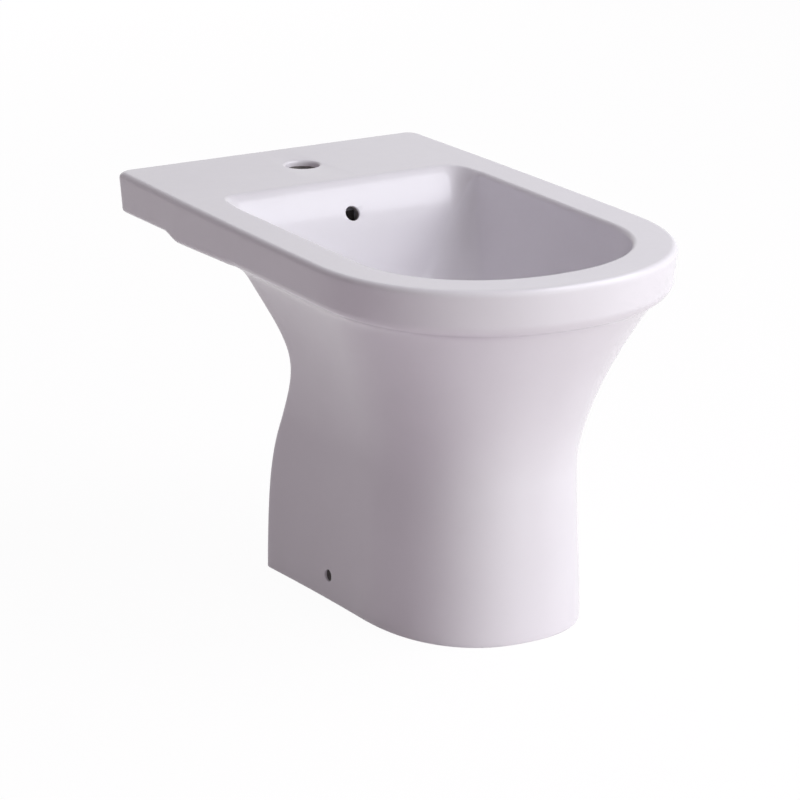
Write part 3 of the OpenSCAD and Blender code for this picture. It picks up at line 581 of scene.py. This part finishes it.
def paint_bore_shade(piece):
    """Gives the faces deep inside the holes the second material, a dark colour painted as the shade in the
    bores.
    """
    holes = [(at_point(0, TAP_HOLE_AT, HEIGHT), TAP_HOLE_R, TAP_LIP_R, TAP_PAD_DEPTH),
             (overflow_place(), OVERFLOW_R, OVERFLOW_LIP_R, WALL + 4 * DUCT_GAP)]
    for side in (-1, 1):
        face = Matrix.Translation((0, 0, FIXING_FACE_X * MM))
        holes.append((sideways(side) @ face, FIXING_R, FIXING_LIP_R, WALL + FIXING_PAD_R))
    centers = np.array([(*face.center, 1) for face in piece.data.polygons])
    painted_shade = np.zeros(len(centers), int)
    for place, r, lip, depth in holes:
        x, y, z, _ = (centers @ np.array(place.inverted()).T).T / MM
        painted_shade |= (np.hypot(x, y) < r + lip / 4) & (z < -SHADE_FROM_LIPS * lip) & (z > -depth)
    piece.data.polygons.foreach_set("material_index", painted_shade)


def make_china():
    block = loft("china", outside_rings() + bowl_rings())
    combine(block, hollow_space(), "DIFFERENCE")
    tap_hole = lipped_hole("tap_hole", TAP_HOLE_R, TAP_LIP_R, -TAP_PAD_DEPTH - OVER, OVER)
    combine(block, moved(tap_hole, at_point(0, TAP_HOLE_AT, HEIGHT)), "DIFFERENCE")
    combine(block, duct("duct", 0, 1), "DIFFERENCE")
    drains = ((DRAIN_R, BOSS_Z - OVER, SEAT_Z + OVER), (SEAT_R, SEAT_Z, SEAT_Z + SEAT_DEPTH + OVER),
              (CHAMBER_R, CHAMBER_Z, CHAMBER_Z + CHAMBER_HEIGHT))
    for r, low_z, high_z in drains:
        combine(block, moved(drum("drain", r, low_z, high_z), at_point(0, WASTE_AT)), "DIFFERENCE")
    overflow = lipped_hole("overflow", OVERFLOW_R, OVERFLOW_LIP_R, -WALL - OVERFLOW_PAST, OVERFLOW_BEFORE)
    combine(block, moved(overflow, overflow_place()), "DIFFERENCE")
    for side in (-1, 1):
        hole = lipped_hole("fixing_hole", FIXING_R, FIXING_LIP_R, -WALL - FIXING_PAD_R, FIXING_BEFORE)
        moved(hole, Matrix.Translation((0, 0, FIXING_FACE_X * MM)))
        combine(block, moved(hole, sideways(side)), "DIFFERENCE")
    shade_smooth(block)
    paint_bore_shade(block)
    return block


china = make_china()
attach(china, "base")
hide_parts("china_body")

# --- Waste and spring -----------------------------------------------------------------------------

WASTE_PLACE = at_point(0, WASTE_AT)
THREAD_R, THREAD_PITCH, THREAD_DEPTH, THREAD_STEPS = 20.95, 2.31, 1.1, 36
GROOVE_WIDTH, GROOVE_REACH = 0.9 * THREAD_PITCH, THREAD_PITCH / 12
SPRING_WIRE, SPRING_TURNS, SPRING_TRAVEL, SPRING_STEPS, WIRE_SIDES = 0.9, 5, 8, 48, 16
SPRING_SMOOTH_ANGLE = 60


def helix(name, section, r, low_z, high_z, turns, steps, pace=lambda t: t):
    """A closed solid: a section of (outwards, up) points swept along a helix from one height to another."""
    rings = []
    for t in np.linspace(0, 1, int(turns * steps) + 1):
        a, z = 2 * math.pi * turns * t, mix(low_z, high_z, pace(t))
        rings.append([((r + q) * math.cos(a), (r + q) * math.sin(a), z + h) for q, h in section])
    return loft(name, np.array(rings))


def make_waste():
    """The waste's tube and flange, with the thread that its nut runs on cut into the tube."""
    waste = bpy.data.objects.new("threaded_waste", nodes["waste_body"].data.copy())
    scene.collection.objects.link(waste)
    work = bmesh.new()
    work.from_mesh(waste.data)
    bmesh.ops.remove_doubles(work, verts=work.verts, dist=WELD)
    work.to_mesh(waste.data)
    work.free()
    low_z, high_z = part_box("waste_body")[0][2] / MM - THREAD_PITCH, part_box("waste_back_nut")[1][2] / MM
    groove = [(GROOVE_REACH, GROOVE_WIDTH / 2), (-THREAD_DEPTH, 0), (GROOVE_REACH, -GROOVE_WIDTH / 2)]
    cutter = helix("groove", groove, THREAD_R, low_z, high_z, (high_z - low_z) / THREAD_PITCH, THREAD_STEPS)
    combine(waste, moved(cutter, WASTE_PLACE), "DIFFERENCE")
    shade_smooth(waste)
    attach(waste, "base")
    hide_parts("waste_body")
    return waste


def make_spring():
    """The return spring, wound from round wire. The plug presses it together as it goes down; this mesh is
    built at one length.
    """
    (low_x, _, low_z), (high_x, _, high_z) = (np.array(c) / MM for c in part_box("return_spring"))
    wire = SPRING_WIRE / 2
    around = np.linspace(0, 2 * math.pi, WIRE_SIDES, endpoint=False)
    section = [(wire * math.cos(a), wire * math.sin(a)) for a in around]
    spring = helix("return_spring_wire", section, (high_x - low_x) / 2 - wire, low_z + wire, high_z - wire,
                   SPRING_TURNS, SPRING_STEPS, ease)
    moved(spring, WASTE_PLACE)
    shade_smooth(spring, SPRING_SMOOTH_ANGLE)
    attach(spring, "base")
    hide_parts("return_spring")
    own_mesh(spring)
    return spring


waste = make_waste()
spring = make_spring()

# --- Materials ------------------------------------------------------------------------------------


def new_material(name, color, roughness, metallic=0.0):
    material = bpy.data.materials.new(name)
    material.use_nodes = True
    shader = material.node_tree.nodes["Principled BSDF"]
    shader.inputs["Base Color"].default_value = (*color, 1)
    shader.inputs["Roughness"].default_value = roughness
    shader.inputs["Metallic"].default_value = metallic
    return material, material.node_tree, shader


def noise(tree, scale, detail=2.0, roughness=0.5, stretch=(1, 1, 1)):
    """Noise in the object's own frame, with its cells stretched along the axes."""
    place = tree.nodes.new("ShaderNodeTexCoord")
    mapping = tree.nodes.new("ShaderNodeMapping")
    mapping.inputs["Scale"].default_value = stretch
    texture = tree.nodes.new("ShaderNodeTexNoise")
    texture.inputs["Scale"].default_value = scale
    texture.inputs["Detail"].default_value = detail
    texture.inputs["Roughness"].default_value = roughness
    tree.links.new(place.outputs["Object"], mapping.inputs["Vector"])
    tree.links.new(mapping.outputs["Vector"], texture.inputs["Vector"])
    return texture.outputs["Fac"]


def remap(tree, value, low_to, high_to, low_from=0.3, high_from=0.7):
    ramp = tree.nodes.new("ShaderNodeMapRange")
    ends = {"From Min": low_from, "From Max": high_from, "To Min": low_to, "To Max": high_to}
    for name, number in ends.items():
        ramp.inputs[name].default_value = number
    tree.links.new(value, ramp.inputs["Value"])
    return ramp.outputs["Result"]


def vary_color(tree, shader, value, dark, light):
    blend = tree.nodes.new("ShaderNodeMix")
    blend.data_type = "RGBA"
    blend.inputs["A"].default_value = (*dark, 1)
    blend.inputs["B"].default_value = (*light, 1)
    tree.links.new(value, blend.inputs["Factor"])
    tree.links.new(blend.outputs["Result"], shader.inputs["Base Color"])


def bump(tree, shader, value, strength, distance):
    node = tree.nodes.new("ShaderNodeBump")
    node.inputs["Strength"].default_value = strength
    node.inputs["Distance"].default_value = distance
    tree.links.new(value, node.inputs["Height"])
    tree.links.new(node.outputs["Normal"], shader.inputs["Normal"])


def glaze():
    material, tree, shader = new_material("china_glaze", (0.85, 0.832, 0.873), 0.2)
    tint = remap(tree, noise(tree, 9, 4), 0, 1)
    vary_color(tree, shader, tint, (0.838, 0.818, 0.86), (0.862, 0.845, 0.885))
    tree.links.new(remap(tree, noise(tree, 30, 3), 0.17, 0.25), shader.inputs["Roughness"])
    shader.inputs["Specular IOR Level"].default_value = 0.4
    shader.inputs["Coat Weight"].default_value = 0.15
    shader.inputs["Coat Roughness"].default_value = 0.08
    bump(tree, shader, noise(tree, 22, 2), 0.05, 0.004)
    return material


def painted_bore_shade():
    """Rough clay without glaze, coloured dark as painted shade inside the holes."""
    material, tree, shader = new_material("painted_bore_shade", (0.19, 0.175, 0.17), 0.8)
    vary_color(tree, shader, remap(tree, noise(tree, 140, 4), 0, 1), (0.13, 0.12, 0.118), (0.25, 0.23, 0.225))
    bump(tree, shader, noise(tree, 700, 3), 0.2, 0.0003)
    return material


def chrome():
    material, tree, shader = new_material("polished_chrome", (0.72, 0.73, 0.75), 0.07, 1)
    tree.links.new(remap(tree, noise(tree, 60, 4), 0.05, 0.13), shader.inputs["Roughness"])
    return material


def rubber():
    material, tree, shader = new_material("black_rubber", (0.03, 0.03, 0.033), 0.6)
    vary_color(tree, shader, remap(tree, noise(tree, 80, 4), 0, 1), (0.02, 0.02, 0.022), (0.045, 0.045, 0.05))
    bump(tree, shader, noise(tree, 900, 3), 0.3, 0.0003)
    return material


def plastic(name, color):
    material, tree, shader = new_material(name, color, 0.4)
    pale = tuple(min(1, c * 1.05) for c in color)
    vary_color(tree, shader, remap(tree, noise(tree, 25, 3), 0, 1), tuple(c * 0.94 for c in color), pale)
    tree.links.new(remap(tree, noise(tree, 120, 3), 0.35, 0.5), shader.inputs["Roughness"])
    bump(tree, shader, noise(tree, 700, 2), 0.2, 0.0002)
    return material


def turned_brass():
    material, tree, shader = new_material("turned_brass", (0.78, 0.6, 0.3), 0.3, 1)
    vary_color(tree, shader, remap(tree, noise(tree, 40, 5), 0, 1), (0.66, 0.49, 0.23), (0.84, 0.67, 0.36))
    tree.links.new(remap(tree, noise(tree, 300, 3, stretch=(1, 1, 9)), 0.2, 0.42), shader.inputs["Roughness"])
    bump(tree, shader, noise(tree, 500, 2, stretch=(1, 1, 12)), 0.15, 0.0002)
    return material


def steel(name, color, roughness):
    material, tree, shader = new_material(name, color, roughness, 1)
    wear = remap(tree, noise(tree, 200, 4), roughness * 0.7, roughness * 1.4)
    tree.links.new(wear, shader.inputs["Roughness"])
    return material


MATERIALS = {
    "glazed_china": glaze(),
    "painted_bore_shade": painted_bore_shade(),
    "waste_chrome": chrome(),
    "black_rubber": rubber(),
    "white_plastic": plastic("white_plastic", (0.76, 0.76, 0.73)),
    "bracket_plastic": plastic("bracket_plastic", (0.62, 0.62, 0.6)),
    "brass": turned_brass(),
    "spring_steel": steel("spring_steel", (0.55, 0.56, 0.58), 0.25),
    "screw_steel": steel("screw_steel", (0.6, 0.61, 0.64), 0.3),
}


def dress(piece, *names):
    """Hangs the named materials on a piece. Its faces keep their choice among them."""
    chosen = [face.material_index for face in piece.data.polygons]
    piece.data.materials.clear()
    for name in names:
        piece.data.materials.append(MATERIALS[name])
    piece.data.polygons.foreach_set("material_index", [min(index, len(names) - 1) for index in chosen])


# The china's second material is the painted shade for the faces deep inside its holes
dress(china, "glazed_china", "painted_bore_shade")
dress(waste, "waste_chrome")
dress(spring, "spring_steel")
for part in frame["record"]["subparts"]:
    dress(nodes[part["node"]], part["material_slot"])

# --- Room and light -------------------------------------------------------------------------------

# Seen directly or in a reflection, the floor is nearly all a white glow, and the rest of it keeps the
# object's shadow. The world is white to the same rays, and lights the object at its own weaker strength.
FLOOR_SIZE = 12
FLOOR_COLOR, FLOOR_WHITE, FLOOR_GLOW = (0.72, 0.64, 0.69), 0.92, 1.04
AMBIENT, AMBIENT_COLOR = 0.225, (1, 0.88, 0.95)
LAMP_DISTANCE = 3


def light_path(tree, *rays):
    """1 where the ray is of one of the kinds named, and 0 elsewhere."""
    path = tree.nodes.new("ShaderNodeLightPath")
    value = path.outputs[rays[0]]
    for ray in rays[1:]:
        most = tree.nodes.new("ShaderNodeMath")
        most.operation = "MAXIMUM"
        tree.links.new(value, most.inputs[0])
        tree.links.new(path.outputs[ray], most.inputs[1])
        value = most.outputs[0]
    return value


def make_floor():
    half = FLOOR_SIZE / 2 / MM
    corners = [(-half, -half, 0), (half, -half, 0), (half, half, 0), (-half, half, 0)]
    floor = new_object("floor", corners, [(0, 1, 2, 3)])
    material, tree, shader = new_material("floor_white", FLOOR_COLOR, 0.9)
    glow = tree.nodes.new("ShaderNodeEmission")
    glow.inputs["Color"].default_value = (1, 1, 1, 1)
    glow.inputs["Strength"].default_value = FLOOR_GLOW
    blend = tree.nodes.new("ShaderNodeMixShader")
    seen = light_path(tree, "Is Camera Ray", "Is Glossy Ray", "Is Transmission Ray")
    seen = remap(tree, seen, 0, FLOOR_WHITE, 0, 1)
    tree.links.new(seen, blend.inputs["Fac"])
    tree.links.new(shader.outputs["BSDF"], blend.inputs[1])
    tree.links.new(glow.outputs["Emission"], blend.inputs[2])
    tree.links.new(blend.outputs["Shader"], tree.nodes["Material Output"].inputs["Surface"])
    floor.data.materials.append(material)


def make_world():
    world = bpy.data.worlds.new("room")
    world.use_nodes = True
    scene.world = world
    tree = world.node_tree
    background = tree.nodes["Background"]
    seen = light_path(tree, "Is Camera Ray", "Is Glossy Ray", "Is Transmission Ray")
    tint = tree.nodes.new("ShaderNodeMix")
    tint.data_type = "RGBA"
    tint.inputs["A"].default_value = (*AMBIENT_COLOR, 1)
    tint.inputs["B"].default_value = (1, 1, 1, 1)
    tree.links.new(seen, tint.inputs["Factor"])
    tree.links.new(tint.outputs["Result"], background.inputs["Color"])
    tree.links.new(remap(tree, seen, AMBIENT, 1, 0, 1), background.inputs["Strength"])


def soft_light(name, azimuth, elevation, size, power, color, glossy=True):
    """A round soft lamp that faces the part's middle, from an azimuth that is 0 in front and 90 on +X.

    A low lamp isn't glossy, because the flat deck would mirror it as a white sheet from the other side.
    """
    az, el = math.radians(azimuth), math.radians(elevation)
    away = Vector((math.sin(az) * math.cos(el), -math.cos(az) * math.cos(el), math.sin(el)))
    lamp = bpy.data.lights.new(name, "AREA")
    lamp.shape = "DISK"
    lamp.size = size
    lamp.energy = power
    lamp.color = color
    light = bpy.data.objects.new(name, lamp)
    light.location = Vector((0, 0, HEIGHT * MM / 2)) + away * LAMP_DISTANCE
    light.rotation_euler = away.to_track_quat("Z", "Y").to_euler()
    light.visible_glossy = glossy
    scene.collection.objects.link(light)


make_floor()
make_world()
soft_light("key", 60, 50, 2.4, 46, (0.93, 0.93, 1))
soft_light("front", 20, 14, 1.8, 40, (0.96, 1, 0.95), glossy=False)
soft_light("rear", 165, 8, 2.4, 12, (0.96, 1, 0.97), glossy=False)

scene.view_settings.view_transform = "Standard"
